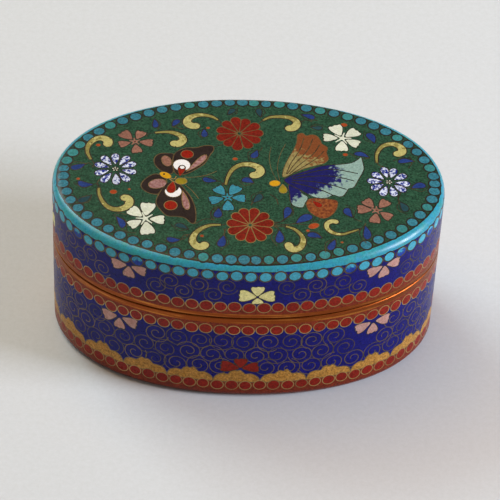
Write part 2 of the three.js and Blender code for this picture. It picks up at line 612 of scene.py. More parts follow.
# Paints: two shades, and what of the finish isn't the usual. The wire is a copper.
PAINTS = {
    "bead_sky": ((62, 158, 182), (80, 172, 192), {"grain": 0.2}),
    "green": ((29, 61, 44), (43, 78, 57), {"grain": 0.6}),
    "turquoise": ((42, 118, 138), (60, 134, 150), {"grain": 0.25}),
    "lining": ((52, 140, 160), (66, 152, 172), {"pits": 0.35}),
    "turquoise_band": (
        (44, 148, 180), (46, 152, 158),
        {"grain": 0.2, "patches": 0.3, "patch_size": 2.2, "pits": 0.08, "gloss": 0.55}),
    "bead_mixed": ((62, 150, 180), (75, 165, 190), {"end": (25, 60, 150)}),
    "bead_teal": ((44, 107, 122), (57, 122, 138), {"grain": 0.3, "patch_size": 1.0}),
    "red_flower": ((122, 28, 14), (100, 25, 13), {"grain": 0.35, "patch_size": 0.8}),
    "wire_brown": ((80, 45, 30), (60, 35, 25), {"grain": 0.2}),
    "bead_green": ((48, 116, 108), (58, 128, 132), {"grain": 0.25}),
    "cobalt": ((9, 9, 92), (16, 16, 114), {"grain": 0.4, "pits": 0.3}),
    "red": ((128, 22, 8), (142, 31, 12), {"grain": 0.35, "pits": 0.25}),
    "red_field": ((134, 47, 19), (112, 38, 15), {"grain": 0.45, "pits": 0.3}),
    "ochre": ((168, 116, 44), (188, 138, 66), {"grain": 0.45, "pits": 0.3}),
    "cream": ((228, 218, 138), (240, 230, 162), {"grain": 0.2, "pits": 0.2}),
    "scroll": (
        (126, 117, 62), (140, 131, 70), {"grain": 0.2, "pits": 0.3, "end": (174, 167, 104), "edge": 0.6}),
    "white": ((214, 216, 200), (196, 204, 178), {"grain": 0.12, "pits": 0.25}),
    "eye_white": ((235, 232, 228), (220, 220, 220), {"grain": 0.06, "pits": 0.02}),
    "pink": ((130, 90, 74), (146, 102, 86), {"grain": 0.3, "pits": 0.3}),
    "pink_pale": ((196, 156, 146), (184, 130, 116), {"grain": 0.2, "pits": 0.5}),
    "black": ((35, 27, 25), (45, 34, 30), {"grain": 0.2, "pits": 0.05}),
    "yellow": ((205, 155, 20), (190, 135, 20), {"grain": 0.1, "pits": 0.1}),
    "olive": ((150, 130, 30), (120, 105, 25), {"grain": 0.1, "pits": 0.1}),
    "leaf": ((36, 60, 124), (30, 52, 104), {"grain": 0.25}),
    "leaf_dark": ((32, 62, 75), (36, 70, 70), {"grain": 0.2}),
    "orange": ((165, 70, 32), (145, 58, 25), {"grain": 0.2}),
    "daisy": (
        (24, 40, 124), (210, 218, 236), {"grain": 0.12, "patches": 0.1, "patch_size": 0.52, "pits": 0.03}),
    "wing_blue": ((28, 27, 98), (22, 24, 78), {"grain": 0.2, "pits": 0.2, "end": (134, 162, 152)}),
    "wing_brown": ((152, 140, 88), (128, 114, 68), {"grain": 0.2, "pits": 0.1, "end": (118, 66, 34)}),
    "wing_rust": ((140, 80, 40), (105, 50, 28), {"grain": 0.25, "patches": 0.2, "patch_size": 0.7}),
    "wing_pink": ((162, 124, 120), (130, 86, 80), {"grain": 0.2, "patches": 0.25, "patch_size": 0.6}),
    "wire": ((34, 29, 18), (186, 150, 84), {"metal": 0.3}),
}
MADE_MATERIALS = {}


def material(paint):
    """Material of a paint, made once."""
    if paint not in MADE_MATERIALS:
        first, second, finish = PAINTS[paint]
        make = copper if paint == "wire" else enamel
        MADE_MATERIALS[paint] = make("enamel_" + paint, first, second, **finish)
    return MADE_MATERIALS[paint]


# ---- motifs
chance = random.Random(7)
TONES = (0.35, 0.65)  # of beads and petals
LEAF_TONES = (0.35, 0.6)  # of leaves and lappets


def varied(value, share):
    """Value changed at random by up to a share of itself."""
    return value * (1 + chance.uniform(-share, share))


def wobble(reach):
    """Random shift, up to a reach given along each axis."""
    return Vector([chance.uniform(-part, part) for part in reach])


BEAD_SQUASH = 0.97
BEAD_UNEVENNESS = 0.04
BLEND_START, BLEND_END = -1.6, 1.1  # along a bead's axis, in radii from its centre
TURQUOISE_BEAD_WIRE = 0.34
RED_BEAD_WIRE = 0.2


def bead(inlay, centre, radius, paint, shine, wire, axis=None):
    """Round bead of a border, a little uneven. With an axis, it can blend across that way."""
    outline = circle(
        centre, varied(radius, BEAD_UNEVENNESS), squash=varied(BEAD_SQUASH, BEAD_UNEVENNESS),
        turn=chance.uniform(0, 180))
    blend = None
    if axis:
        step = Vector(axis) * radius
        blend = along(Vector(centre) + step * BLEND_START, Vector(centre) + step * BLEND_END)
    inlay.cell(outline, paint, chance.uniform(*TONES), wire, shine, blend)


RED_PETALS = 11
RED_PETAL_END = 0.8  # where a petal's round end is centred, as a share of the flower's radius
RED_PETAL_WIRE = 0.17


def chrysanthemum(inlay, centre, width, height, turn, tone, shine):
    """Red flower of touching petals with round ends, each a little different."""
    centre = Vector(centre)
    half_pitch = math.pi / RED_PETALS
    round_end = RED_PETAL_END * math.sin(half_pitch) * 1.02
    side = [Vector((0.08, 0.01)), Vector((RED_PETAL_END * 0.55, round_end * 0.56))]
    for index in range(RED_PETALS):
        size = varied(1.0, 0.04)
        swing = chance.uniform(-0.04, 0.04)
        local = list(side)
        for step in range(7):
            angle = math.pi / 2 - math.pi * step / 6
            local.append(Vector((RED_PETAL_END + round_end * math.cos(angle), round_end * math.sin(angle))))
        local.extend(Vector((point.x, -point.y)) for point in reversed(side))
        direction = turn + math.degrees(2 * half_pitch * (index + swing))
        outline = []
        for point in local:
            point = turned(point * size, direction)
            outline.append(centre + Vector((point.x * width / 2, point.y * height / 2)))
        inlay.cell(outline, "red_flower", tone + chance.uniform(-0.12, 0.12), RED_PETAL_WIRE, shine)


DAISY_PETALS = 10
DAISY_PETAL_WIDTH = 1.85
DAISY_DOTS = 5


def daisy(inlay, centre, width, height, turn):
    """Blue flower flecked with white: separate drops round a dark eye with a ring of dots."""
    centre = Vector(centre)
    for index in range(DAISY_PETALS):
        angle = math.radians(turn + chance.uniform(-3, 3) + index * 360 / DAISY_PETALS)
        direction = Vector((math.cos(angle) * width / 2, math.sin(angle) * height / 2))
        tip = centre + direction * varied(1, 0.04)
        outline = teardrop(centre + direction * 0.25, tip, DAISY_PETAL_WIDTH, count=18)
        inlay.cell(outline, "daisy", chance.uniform(0.3, 0.7), 0.22, 0.05)
    inlay.cell(circle(centre, 0.75, 12), "black")
    for index in range(DAISY_DOTS):
        dot = centre + turned(Vector((0.48, 0)), turn + index * 360 / DAISY_DOTS)
        inlay.cell(circle(dot, 0.17, 6), "white", 0.4)
    inlay.cell(circle(centre, 0.14, 6), "white", 0.4)


# Outline of a petal, along and across, for a petal one long
NOTCHED_PETAL = [
    (0.0, 0.07), (0.22, 0.2), (0.5, 0.33), (0.78, 0.38), (0.96, 0.3), (0.93, 0.1),
    (1.0, 0.0), (0.96, -0.16), (0.97, -0.32), (0.76, -0.38), (0.48, -0.32), (0.2, -0.18),
    (0.0, -0.07),
]


PETAL_WIRE = 0.2
TOP_PETAL_SHINE = 0.06
SIDE_PETAL_SHINE = 0.08


def petal(inlay, start, end, paint, width, shine):
    """Wedge-shaped petal with a notched end."""
    start, end = Vector(start), Vector(end)
    length = (end - start).length
    direction = math.degrees(math.atan2(end.y - start.y, end.x - start.x))
    outline = []
    for point in spline(NOTCHED_PETAL, closed=True, steps=3):
        local = Vector((point.x, point.y * width)) * length
        outline.append(start + turned(local, direction))
    inlay.cell(outline, paint, chance.uniform(*TONES), PETAL_WIRE, shine)


PETAL_START = 0.95  # from the flower's centre
STAMEN = 1.9
SHORT_STAMEN = 1.2


def notched_flower(inlay, centre, paint, width, petals, stamens):
    """Flower of five petals with notched ends. Each petal is given by its direction in degrees
    and its length from the flower's centre. Without stamens, it has short ones and a brown eye."""
    centre = Vector(centre)
    for direction, length in petals:
        start = centre + turned(Vector((PETAL_START, 0)), direction)
        end = centre + turned(Vector((length, 0)), direction)
        petal(inlay, start, end, paint, width, TOP_PETAL_SHINE)
    for index, (direction, length) in enumerate(petals):
        following = petals[(index + 1) % len(petals)][0]
        between = direction - ((direction - following) % 360) / 2
        tip = centre + turned(Vector((STAMEN if stamens else SHORT_STAMEN, 0)), between)
        inlay.strip([centre, tip], [0.5, 0.22], inlay.shape(paint))
    inlay.cell(circle(centre, 0.55, 10), paint)
    if not stamens:
        inlay.cell(circle(centre, 0.22, 8), "wire_brown")


TENDRIL_WIRE = 0.22
TENDRIL_SHINE = 0.14


def leaf(inlay, base, tip, width, bend, paint="leaf", tendril=None):
    """Drop-shaped leaf with a line of wire beside it, and a curl of wire that runs on from its base."""
    outline = teardrop(base, tip, width * 1.2, bend)
    inlay.cell(outline, paint, chance.uniform(*LEAF_TONES), 0.22, 0.08)
    base, tip = Vector(base), Vector(tip)
    across = Vector((base.y - tip.y, tip.x - base.x)).normalized() * chance.choice((-1, 1))
    outer = [base, base.lerp(tip, 0.55) + across * width * 0.95, base.lerp(tip, 1.25) + across * 0.3]
    inlay.wire(spline(outer), 0.18, 0.12)
    if tendril:
        inlay.wire(spline([base] + tendril), TENDRIL_WIRE, TENDRIL_SHINE)


SWELL_RATE = 1.25  # higher brings a scroll to its full width sooner
LEAST_ROUNDING = 0.12  # width left at the very end of the head, as a share of the full one


def scroll(inlay, head, tail, points):
    """Comma scroll: a thin tail that swells to a blunt, curled head."""
    line = spline(points, steps=7)
    last = len(line) - 1
    widths = []
    for index in range(len(line)):
        swell = tail + (head - tail) * min(index / last * SWELL_RATE, 1.0)
        left_over = sum((line[step + 1] - line[step]).length for step in range(index, last))
        short = max(1 - 2 * left_over / head, 0.0)
        widths.append(swell * max(math.sqrt(1 - short ** 2), LEAST_ROUNDING))

    def towards_head(point):
        nearest = min(range(len(line)), key=lambda index: (line[index] - point).length_squared)
        return nearest / last

    inlay.strip(line, widths, inlay.shape("scroll", chance.uniform(0.45, 0.6), towards_head))
    left, right = ribbon(line, widths)
    inlay.wire(left + right[::-1], 0.24, 0.1, closed=True)


SPIRAL_STEPS = 40
SPIRAL_TURN = 690  # degrees
SPIRAL_PULL = 0.84  # share of its radius that a spiral loses on the way in
SPIRAL_POWER = 1.3


def spiral(inlay, centre, radius, hand, start, width, shine):
    """Cloud spiral of one wire: nearly two turns, tighter towards the middle."""
    centre = Vector(centre)
    points = []
    for step in range(SPIRAL_STEPS + 1):
        share = step / SPIRAL_STEPS
        reach = radius * (1 - SPIRAL_PULL * share ** SPIRAL_POWER)
        points.append(centre + turned(Vector((reach, 0)), start + hand * SPIRAL_TURN * share))
    inlay.wire(points, width, shine)


# ---- top of the lid
TOP_BEADS = 70
BEAD_INSET = 2.15
FIELD_INSET = 0.95
FIELD_POWER = 2.0  # the beads and the field's edge run on a plain ellipse
OUTLINE_STEPS = 240
NET_SPACING = 1.1  # between the loose points that let the top follow its dome
NET_MARGIN = 0.4  # kept free of them inside the sheet's edge


def draw_border(inlay):
    """Turquoise beads round the green field."""
    paints = ["bead_teal"] * 4 + ["bead_green"]
    for index in range(TOP_BEADS):
        arc = GIRTH * (index + 0.5) / TOP_BEADS
        inset = BEAD_INSET + chance.uniform(-0.1, 0.15)
        centre, _ = oval_point(angle_along(arc), inset, FIELD_POWER)
        bead(inlay, centre, 1.27, chance.choice(paints), shine=0.03, wire=TURQUOISE_BEAD_WIRE)


HALF_SPACE = 0.49  # half of the texture space that the top sheet fills


def flat_place(point, _):
    """Texture place of the top sheet."""
    return 0.5 + HALF_SPACE * point.x / HALF_LENGTH, 0.5 + HALF_SPACE * point.y / HALF_WIDTH


def draw_top():
    """The green field with its flowers, scrolls and two butterflies."""
    inlay = Inlay("turquoise_band")
    turns = [math.tau * step / OUTLINE_STEPS for step in range(OUTLINE_STEPS)]
    inlay.border([oval_point(turn, SHEET_INSET)[0] for turn in turns])
    field = [oval_point(turn, FIELD_INSET, FIELD_POWER)[0] for turn in turns[::2]]
    inlay.cell(field, "green", EVEN_TONE, 0.3, 0.03)
    draw_border(inlay)
    draw_tendrils(inlay)
    draw_scrolls(inlay)
    draw_leaves(inlay)
    draw_flowers(inlay)
    draw_left_butterfly(inlay)
    draw_right_butterfly(inlay)
    loose = []
    columns = int(HALF_LENGTH / NET_SPACING)
    rows = int(HALF_WIDTH / NET_SPACING)
    for column in range(-columns, columns + 1):
        for row in range(-rows, rows + 1):
            y = row * NET_SPACING + 0.5 * NET_SPACING * (column % 2)
            point = Vector((column * NET_SPACING, y))
            if in_oval(point) and inset_at(point.x, point.y)[0] > SHEET_INSET + NET_MARGIN:
                loose.append(point)
    return inlay.build("lid_top", on_top, flat_place, loose)


def in_oval(point):
    """True for a place inside the outline."""
    return abs(point.x / HALF_LENGTH) ** OVAL_POWER + abs(point.y / HALF_WIDTH) ** OVAL_POWER < 1


# Thin stems between the flowers, leaves and scrolls
STEMS = [
    [(-32.2, 5), (-31.6, 3.6), (-31.9, 2.4)],
    [(-30.5, -3.7), (-30.8, -2.2), (-30, -0.8)],
    [(-19.3, 13.4), (-20.6, 13), (-21, 12)],
    [(-13, 14.8), (-14.4, 15), (-15.6, 15.4)],
    [(-6.2, 17.8), (-5.6, 16.6), (-6.2, 15)],
    [(3, 18), (2.2, 16.8), (2.6, 15.4)],
    [(10.6, 17.6), (12, 18.6), (13.2, 18)],
    [(-5.2, -4), (-5.4, -2.6), (-4.8, -1.4)],
    [(-4.8, -13.9), (-5.4, -14.2), (-5.9, -14.1)],
    [(4.8, -14), (6, -14.3), (7.2, -14.1)],
    [(4.6, -13.2), (6.4, -12.9), (7.4, -12)],
    [(-5.2, -15.2), (-5, -16.4), (-5.4, -17.4)],
    [(-3.8, -9.6), (-5, -9), (-6.2, -9.4)],
    [(-7.6, -12.6), (-7.8, -11), (-7.2, -9.4), (-6, -9)],
    [(22, -14.5), (23, -13.6), (23.4, -12.6)],
    [(26.2, 5.5), (26.8, 4.6), (27.6, 4.4)],
    [(33, 8), (33.4, 6), (32.6, 4.2)],
    [(30.8, -3.4), (30.2, -5.2), (30.6, -6.4)],
    [(-24.8, -11.6), (-26.4, -11.2), (-27.4, -11.8)],
    [(-25.6, -15.6), (-24.4, -16.6), (-22.8, -16.8)],
    [(-12, -17), (-13.2, -17.4), (-13.8, -18.6)],
    [(-10.9, -14), (-9, -12.6), (-7, -12.8)],
    [(-8.8, 9.4), (-7, 9.2), (-5.4, 10)],
    [(2.8, 9.4), (2.4, 8.4), (1.6, 8.2)],
    [(4.2, -5), (5.4, -6.2), (5.8, -8)],
    [(14.6, -10.6), (14, -12.2), (12.8, -12.8)],
]


def draw_tendrils(inlay):
    """Thin stems that curl between the flowers, leaves and scrolls."""
    for points in STEMS:
        inlay.wire(spline(points), TENDRIL_WIRE, TENDRIL_SHINE)


# Comma scrolls: widths of the head and the tail, and points from the tail to the head
SCROLLS = [
    (2.1, 0.6, [(-32.2, 4.8), (-33, 7.3), (-32.7, 9.6), (-31.4, 11.3), (-29.9, 11.6),
                (-28.8, 10.5), (-29.2, 8.8)]),
    (2.1, 0.6, [(-19.3, 13.4), (-17, 13.7), (-15.3, 13.4), (-13.8, 12.4), (-13.5, 11),
                (-14.6, 9.9), (-16.1, 10.5)]),
    (2.1, 0.6, [(-6.2, 17.8), (-7.3, 18.8), (-9, 19.4), (-10.7, 19.3), (-12.2, 18.4),
                (-12.6, 16.9), (-11.6, 15.8), (-9.9, 16)]),
    (2.1, 0.6, [(3, 18), (4.5, 19.1), (6.7, 19.4), (8.7, 19.1), (9.9, 18), (9.9, 16.7), (9, 15.7),
                (7.5, 15.8)]),
    (2.1, 0.6, [(-4.8, -2.5), (-4.3, 0), (-3.3, 2.3), (-1.7, 3.7), (0.3, 3.9), (2, 3), (2.3, 1.7),
                (1.4, 0.7), (0, 0.8)]),
    (2.1, 0.6, [(-5.7, -14.2), (-8, -14.4), (-10, -15.6), (-11.2, -17.3), (-11.4, -19),
                (-10.5, -20.3), (-9.3, -20.2), (-8.8, -19)]),
    (1.9, 0.6, [(7.2, -14.2), (9, -15), (10.4, -16.7), (10.7, -18.4), (10.1, -20), (8.9, -20.7),
                (7.9, -20), (7.8, -18.6)]),
    (1.3, 0.5, [(22, -14.5), (20.3, -15.3), (18.7, -16), (17, -15.8), (15.7, -14.7), (15.6, -13.2),
                (16.7, -12.4), (18, -12.8)]),
    (2.1, 0.6, [(26.2, 5.5), (26.3, 8.2), (27.3, 10.5), (28.7, 11.5), (30.2, 11.6), (31.4, 10.6),
                (31.5, 9.4), (30.7, 8.7), (29.7, 9)]),
    (2.1, 0.6, [(-30.5, -3.7), (-30.3, -6), (-29.2, -8.6), (-27.7, -9.9), (-26, -10), (-24.5, -9),
                (-24.3, -7.6), (-25, -6.8), (-26, -7.2)]),
]


def draw_scrolls(inlay):
    """Comma scrolls round the flowers."""
    for head, tail, points in SCROLLS:
        scroll(inlay, head, tail, points)


# Leaves: base, tip, width and bend, then the paint and the points of the curl where it has one
LEAVES = [
    ((-33.2, 3.6), (-36.3, 2.2), 1.5, 0.2, "leaf", [(-32.6, 3.8), (-32, 3.2)]),
    ((-31.4, -2.7), (-34.8, -2), 1.5, 0.5, "leaf", [(-30.8, -2.5), (-30.3, -3.2)]),
    ((-31.8, -5.8), (-34.6, -7.8), 1.4, 0.2, "leaf_dark"),
    ((-27, -12), (-25.4, -15.4), 1.4, 0.4),
    ((-19.4, 18), (-19.1, 15), 1.2, 0.1),
    ((-15.7, 15.4), (-14.3, 17.8), 1.3, 0.1),
    ((-12.3, -15.7), (-15, -14.3), 1.2, -0.3, "leaf_dark"),
    ((-13.7, -18.5), (-16.7, -18.3), 1.3, 0.3, "leaf", [(-13, -18.2), (-12.4, -17.2)]),
    ((-9.2, 15), (-9.1, 12.2), 1.3, 0.1),
    ((-4.2, 19.5), (-2.8, 21.7), 1.2, 0.1, "leaf_dark"),
    ((2.6, 19), (2.2, 22), 1.2, 0.1, "leaf_dark"),
    ((10.9, 20.3), (13.8, 19.1), 1.3, 0.2),
    ((12.8, 16.3), (15.3, 16.1), 1.2, -0.2, "leaf_dark"),
    ((1.8, 8.6), (0.6, 5.9), 1.4, 0.2),
    ((-6.4, -1.4), (-9.5, -0.7), 1.3, 0.2, "leaf", [(-5.8, -1.6), (-5.4, -2.2)]),
    ((1, -1.8), (-1.5, -0.7), 1.5, -0.3),
    ((0.6, -7.7), (2.4, -5), 1.4, -0.2, "leaf_dark", [(0.3, -8.4)]),
    ((-6.2, -9.2), (-6.6, -12.2), 1.6, 0.1),
    ((-5.2, -17), (-6, -20.4), 1.6, 0.1, "leaf", [(-4.9, -15.8), (-4.6, -15)]),
    ((6.9, -12.2), (7.9, -8.6), 1.5, -0.2, "leaf", [(6.2, -13), (5, -13.6)]),
    ((9.2, -13.4), (12.6, -10.9), 1.8, 0.2, "leaf", [(7.6, -13.7), (5, -13.9)]),
    ((5.9, -15.2), (5.8, -19), 1.6, 0.2, "leaf", [(5.4, -14.6), (4.8, -14.3)]),
    ((14.6, -17.3), (11.5, -16.4), 1.4, -0.3),
    ((26, 11.6), (24.6, 14.9), 1.6, -0.2),
    ((24.8, 6.9), (21.6, 8.2), 1.3, -0.4),
    ((34.1, 6.5), (30.5, 6.1), 1.3, -0.3),
    ((32.9, -1.9), (36, -0.6), 1.6, 0.3, "leaf", [(32, -1.8), (31, -1.3)]),
    ((30.4, -6), (31.8, -8.8), 1.5, 0.2, "leaf_dark", [(30.2, -5), (30.2, -4.2)]),
    ((20.9, -11.2), (19.5, -8.4), 1.5, 0.3, "leaf", [(21.6, -11.8), (22.6, -12.2)]),
    ((23.2, -13.2), (23.6, -17.3), 1.5, 0.2),
    ((17.2, -17.4), (15.8, -20.6), 1.4, 0.1),
]

# Orange dots: place and radius
DOTS = [
    ((-30.8, 9.4), 0.5), ((-34.7, -1), 0.4), ((-27.5, -5), 0.75), ((-24.3, -4.2), 0.3),
    ((-8.3, 15.2), 0.4), ((-2.8, 5.5), 0.55), ((19.8, 17.3), 0.7), ((19.8, 7.7), 0.55),
    ((11.7, -15.3), 0.4), ((18.5, -18.3), 0.3), ((-9.6, -17.4), 0.4),
]
DOT_SQUASH = 0.85


def draw_leaves(inlay):
    """Leaves and orange dots."""
    for row in LEAVES:
        leaf(inlay, *row)
    for centre, radius in DOTS:
        inlay.cell(circle(centre, radius, 12, DOT_SQUASH), "orange", EVEN_TONE, 0.14, 0.3)
    inlay.cell(circle((12.9, -13.9), 1.15, 16, 0.65, 25), "orange", 0.6, 0.15, 0.35)


# Flowers of five petals: centre, paint, width of the petals, petals and whether it has stamens
NOTCHED_FLOWERS = [
    ((-21, -12.7), "white", 1.12, [(138, 4.3), (82, 4.7), (-5, 4.0), (-82, 4.6), (213, 3.9)], True),
    ((19.3, 12.9), "white", 1.12, [(111, 4.5), (39, 4.3), (-30, 4.0), (-93, 4.2), (178, 4.0)], True),
    ((-23.3, 10.5), "pink", 1.1, [(132, 4.2), (66, 3.7), (-6, 3.8), (-82, 3.7), (197, 3.5)], False),
    ((25.7, -8.8), "pink", 1.1, [(128, 3.8), (52, 3.8), (-36, 3.7), (-98, 3.8), (178, 4)], False),
    ((-4.4, -6.2), "turquoise", 1.1, [(127, 3.9), (59, 4.1), (-3, 3.7), (-88, 3.9), (197, 3.9)], False),
]


def draw_flowers(inlay):
    """Red flowers, blue and white ones, and those with notched petals."""
    chrysanthemum(inlay, (-1.9, 13.6), 9.5, 10.2, turn=3, tone=0.42, shine=0.3)
    chrysanthemum(inlay, (0.1, -14.1), 9.4, 9.8, turn=10, tone=0.5, shine=0.5)
    daisy(inlay, (-27.2, 1.9), 8.9, 9.8, turn=92)
    daisy(inlay, (28.5, -0.3), 8.8, 9, turn=70)
    for flower in NOTCHED_FLOWERS:
        notched_flower(inlay, *flower)


WING_EDGE = (0.22, 0.25)  # width and shine of the wire round a black wing


def draw_left_butterfly(inlay):
    """Black butterfly with eye spots, flying to the left."""
    upper_hind = spline([(-15.5, 0.9), (-17.6, 1.2), (-19.1, 3.2), (-19.3, 5.2), (-18.4, 6.6),
                         (-16.8, 6.9), (-15.2, 6.2)], closed=True)
    inlay.cell(upper_hind, "black", EVEN_TONE, *WING_EDGE)
    inlay.cell(circle((-16.8, 4.5), 1.0, 14, 1.7, 15), "pink", 0.5, 0.14, 0.35)
    upper_fore = spline([(-14.6, 0.3), (-15.4, 2), (-15.5, 5.2), (-14.9, 7.2), (-13, 8.6),
                         (-10.8, 8.8), (-9, 9.5), (-7.4, 9.4), (-7.2, 8.1), (-8, 6.4),
                         (-9, 4), (-11, 1.9), (-13, 0.5)], closed=True)
    inlay.cell(upper_fore, "black", EVEN_TONE, *WING_EDGE)
    inlay.cell(circle((-12.6, 6.7), 1.3, 16), "red", 0.5, 0.16, 0.4)
    inlay.cell(circle((-13.7, 3.3), 1.8, 20), "eye_white", 0.55, 0.16, 0.3)
    inlay.cell(teardrop((-14.1, -0.2), (-13.5, 3.3), 1.6), "red", 0.45, 0.15, 0.2)
    inlay.cell(circle((-13.6, 2.6), 0.55, 12), "eye_white", 0.5, 0.15, 0.2)
    inlay.cell(teardrop((-12.8, 1.3), (-8.7, 6.6), 1.5, -0.2), "wing_pink", 0.5, 0.16, 0.5)
    lower_hind = spline([(-17, -0.6), (-18.8, 0.4), (-20.2, -0.2), (-21.6, -1.9), (-21.9, -3.4),
                         (-21, -4.8), (-19.3, -5.6), (-17.6, -5.2), (-16.8, -3)], closed=True)
    inlay.cell(lower_hind, "black", EVEN_TONE, *WING_EDGE)
    inlay.cell(circle((-18.6, -2.5), 1.9, 16, 0.72, 20), "wing_pink", 0.45, 0.15, 0.4)
    lower_fore = spline([(-15.6, -1.8), (-17.4, -3.6), (-18.6, -6.4), (-18.8, -8.4), (-17.9, -10.2),
                         (-16.6, -11.8), (-14.6, -12), (-13, -12.4), (-11.8, -13.8), (-11, -13.7),
                         (-10.8, -11.8), (-11, -9.2), (-11.8, -6.4), (-13, -4.2), (-14.2, -2.4)],
                        closed=True)
    inlay.cell(lower_fore, "black", EVEN_TONE, *WING_EDGE)
    inlay.cell(circle((-15.4, -4.7), 1.75, 20), "eye_white", 0.55, 0.16, 0.3)
    inlay.cell(circle((-15.7, -3.4), 1.45, 20), "black")
    inlay.cell(teardrop((-15.4, -1.6), (-16, -5.2), 1.9), "red", 0.45, 0.15, 0.4)
    inlay.cell(circle((-15.9, -8.8), 1.35, 16), "red", 0.5, 0.16, 0.5)
    inlay.cell(teardrop((-13.5, -4.4), (-12.5, -10), 1.5), "wing_pink", 0.5, 0.16, 0.5)
    inlay.cell(circle((-17, 0.1), 1.35, 16, 0.62, -35), "yellow", 0.55, 0.15, 0.4)
    inlay.cell(circle((-17.3, 0.4), 0.25, 8), "black")
    inlay.cell(circle((-13.8, -1.6), 1.2, 16, 0.8, 0), "olive", 0.6, 0.15, 0.6)
    inlay.wire(spline([(-16, -0.8), (-15.2, -1), (-14.8, -0.2)]), 0.2, 0.7)
    inlay.wire(spline([(-14.6, -2.2), (-15.6, -1.6), (-16.2, -1)]), 0.2, 0.7)
    inlay.wire(spline([(-13.3, -0.4), (-11, -0.3), (-8.6, 0.4), (-6.6, 1.6)]), 0.13, 0.4)
    inlay.wire(spline([(-13.1, -2.6), (-11.6, -4.4), (-10.2, -6.8)]), 0.13, 0.4)


# Where the long wing is halfway to its margin's colour: direction and distance from the middle
WING_MARGINS = (((0.97, 0.25), 18.3), ((0.67, -0.75), 12.7))
FADE_LENGTH = 8


def towards_margin(point):
    """Blend of the long wing, from its root to its two outer margins."""
    past = max(point.dot(Vector(direction)) - distance for direction, distance in WING_MARGINS)
    return min(max(0.5 + past / FADE_LENGTH, 0.0), 1.0)


def draw_right_butterfly(inlay):
    """Swallowtail with a brown wing and a long blue wing, flying to the left."""
    upper_wing = spline([(6.9, 0.2), (7.2, 3.2), (8.1, 6), (9.2, 8.7), (9.9, 11.3), (10.1, 13.6),
                         (11.1, 14.2), (11.9, 13.4), (13, 13.8), (14.1, 13.4), (14.8, 12),
                         (15.1, 10.9), (16.2, 9.8), (16, 8.1), (16.3, 6.2), (15.4, 4.8),
                         (13.9, 4.1), (11.3, 3), (9.3, 1.7)], closed=True, steps=3)
    inlay.cell(upper_wing, "wing_brown", 0.5, 0.16, 0.3, along((8.5, 1.5), (14, 12)))
    for vein in (
            [(7.6, 1.2), (8.6, 4.6), (10.4, 8.6), (11.4, 12.6)],
            [(7.8, 1.2), (9.4, 4.4), (12, 8.6), (13.2, 12.4)],
            [(8.2, 1.2), (10.4, 4.2), (13.2, 7.6), (14.6, 10.6)],
            [(8.8, 1.4), (11.6, 4), (14, 6.4), (15.4, 8.6)]):
        inlay.wire(spline(vein), 0.22, 0.2)
    tail = spline([(8, -2), (8.2, -5), (8.3, -7), (9, -8.3), (10.7, -8.7), (11.3, -7.4),
                   (11.9, -5.6), (10.8, -4.6), (9.8, -2.8)], closed=True, steps=3)
    hind = spline([(12, -6.2), (13.8, -5.8), (15.8, -6), (17.8, -6.5), (17.6, -8.9), (16.4, -10.9),
                   (14.8, -11.7), (13, -10.8), (11.9, -9.4), (11.5, -7.6)], closed=True, steps=3)
    inlay.cell(hind, "wing_rust", 0.5, 0.15, 0.25)
    inlay.cell(teardrop((12.7, -6.6), (14.6, -8.4), 1.5), "red", 0.45, 0.13, 0.3)
    inlay.cell(tail, "wing_blue", 0.4, 0.18, 0.12, along((7.2, -4.4), (11.8, -8)))
    large_wing = spline([(7.1, -0.5), (9.2, 1.1), (12, 2.5), (14, 3.6), (16, 4.2), (18.7, 4.6),
                         (21, 5.2), (22.3, 6.3), (23, 7.1), (23.3, 5.7), (23.5, 3.3), (22.8, 1.3),
                         (22, -0.7), (21.3, -2.3), (20.2, -2.8), (19.8, -3.7), (19, -5),
                         (18, -5.2), (17, -4.8), (15.7, -5.7), (14, -5.8), (12.5, -5.2),
                         (10.5, -3.6), (8.2, -2)], closed=True, steps=3)
    inlay.cell(large_wing, "wing_blue", 0.5, 0.2, 0.1, towards_margin)
    for vein in (
            [(8.6, 0.2), (12.6, 1.9), (17, 3), (22.2, 1.9)],
            [(8.8, -0.2), (13, 0.7), (17.4, 0.8), (21.4, -0.4)],
            [(8.8, -0.7), (13, -0.9), (16.6, -1.8), (19.8, -3)],
            [(8.6, -1.2), (12.2, -2.4), (15, -3.6), (17.2, -5)]):
        inlay.wire(spline(vein), 0.26, 0.06)
    inlay.cell(circle((5.2, -1.7), 1.15, 16, 0.78, 10), "yellow", 0.6, 0.14, 0.5)
    inlay.cell(teardrop((6.8, -1.9), (6.9, -4.6), 1.7), "olive", 0.65, 0.15, 0.6)
    inlay.wire(spline([(5.6, -0.7), (4.6, 2.4), (4.2, 6), (4.6, 9.6)]), 0.12, 0.3)
    inlay.wire(spline([(6.2, -0.7), (5.8, 3), (6.4, 7), (7.6, 10.6)]), 0.12, 0.3)


# ---- sides
STRIP_ROWS = 4  # the unrolled wall is cut into so many rows for its texture space
END_MARGIN = 0.01  # left free at both ends of a row, as a share of its length
SIDE_MARGIN = 0.03  # left free at both sides of a row, as a share of its width


